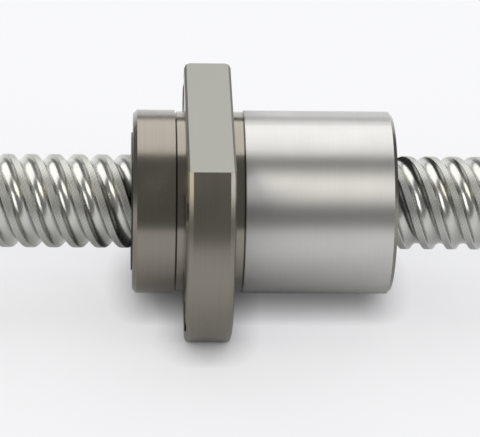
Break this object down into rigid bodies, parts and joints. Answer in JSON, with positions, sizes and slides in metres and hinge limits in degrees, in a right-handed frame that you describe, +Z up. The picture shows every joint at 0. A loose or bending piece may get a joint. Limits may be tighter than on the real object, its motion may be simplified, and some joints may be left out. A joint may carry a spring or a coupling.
{
  "type": "ball screw",
  "caption": "Right-hand multi-start ball screw with a flanged nut, its balls, end deflectors, caps and wipers, which turns and travels.",
  "frame": {"origin": "on the screw's axis, in the plane of the flange's seating face", "axes": "+X along the screw, from the flange towards the barrel's free end; +Z up, square to the flange's flats"},
  "size_m": [0.2, 0.0604, 0.0432],
  "materials": {
    "thread_steel": "rolled and polished, oiled",
    "nut_steel": "ground barrel, burnished brown flange",
    "cap_steel": "burnished brown, finely turned",
    "inner_steel": "turned",
    "bearing_steel": "polished",
    "spring_steel": "phosphated",
    "black_steel": "black oxide",
    "deflector_polymer": "moulded",
    "wiper_polymer": "moulded, matt",
    "oiled_felt": "oiled wool felt"
  },
  "bodies": {
    "nut": {"nut_body": "nut_steel", "end_cap_left": "cap_steel", "end_cap_right": "inner_steel", "wiper_left": "wiper_polymer", "wiper_right": "wiper_polymer", "retaining_ring": "spring_steel", "cap_set_screws": "black_steel", "lube_plug": "black_steel", "balls_track_1": "bearing_steel", "deflector_left_1": "deflector_polymer", "deflector_right_1": "deflector_polymer", "balls_track_2": "bearing_steel", "deflector_left_2": "deflector_polymer", "deflector_right_2": "deflector_polymer", "balls_track_3": "bearing_steel", "deflector_left_3": "deflector_polymer", "deflector_right_3": "deflector_polymer", "balls_track_4": "bearing_steel", "deflector_left_4": "deflector_polymer", "deflector_right_4": "deflector_polymer"},
    "felt": {"felt_ring": "oiled_felt"},
    "screw": {"screw_shaft": "thread_steel"}
  },
  "joints": [
    {"name": "screw_spin", "type": "hinge", "parent": "nut", "child": "felt", "pos_m": [0, 0, 0], "axis": [1, 0, 0], "range_deg": [-902, 1622]},
    {"name": "screw_travel", "type": "slide", "parent": "felt", "child": "screw", "axis": [1, 0, 0], "range_m": [-0.05, 0.09]}
  ],
  "couplings": [
    {"joint": "screw_spin", "follows": "screw_travel", "rad_per_m": 314.16}
  ]
}
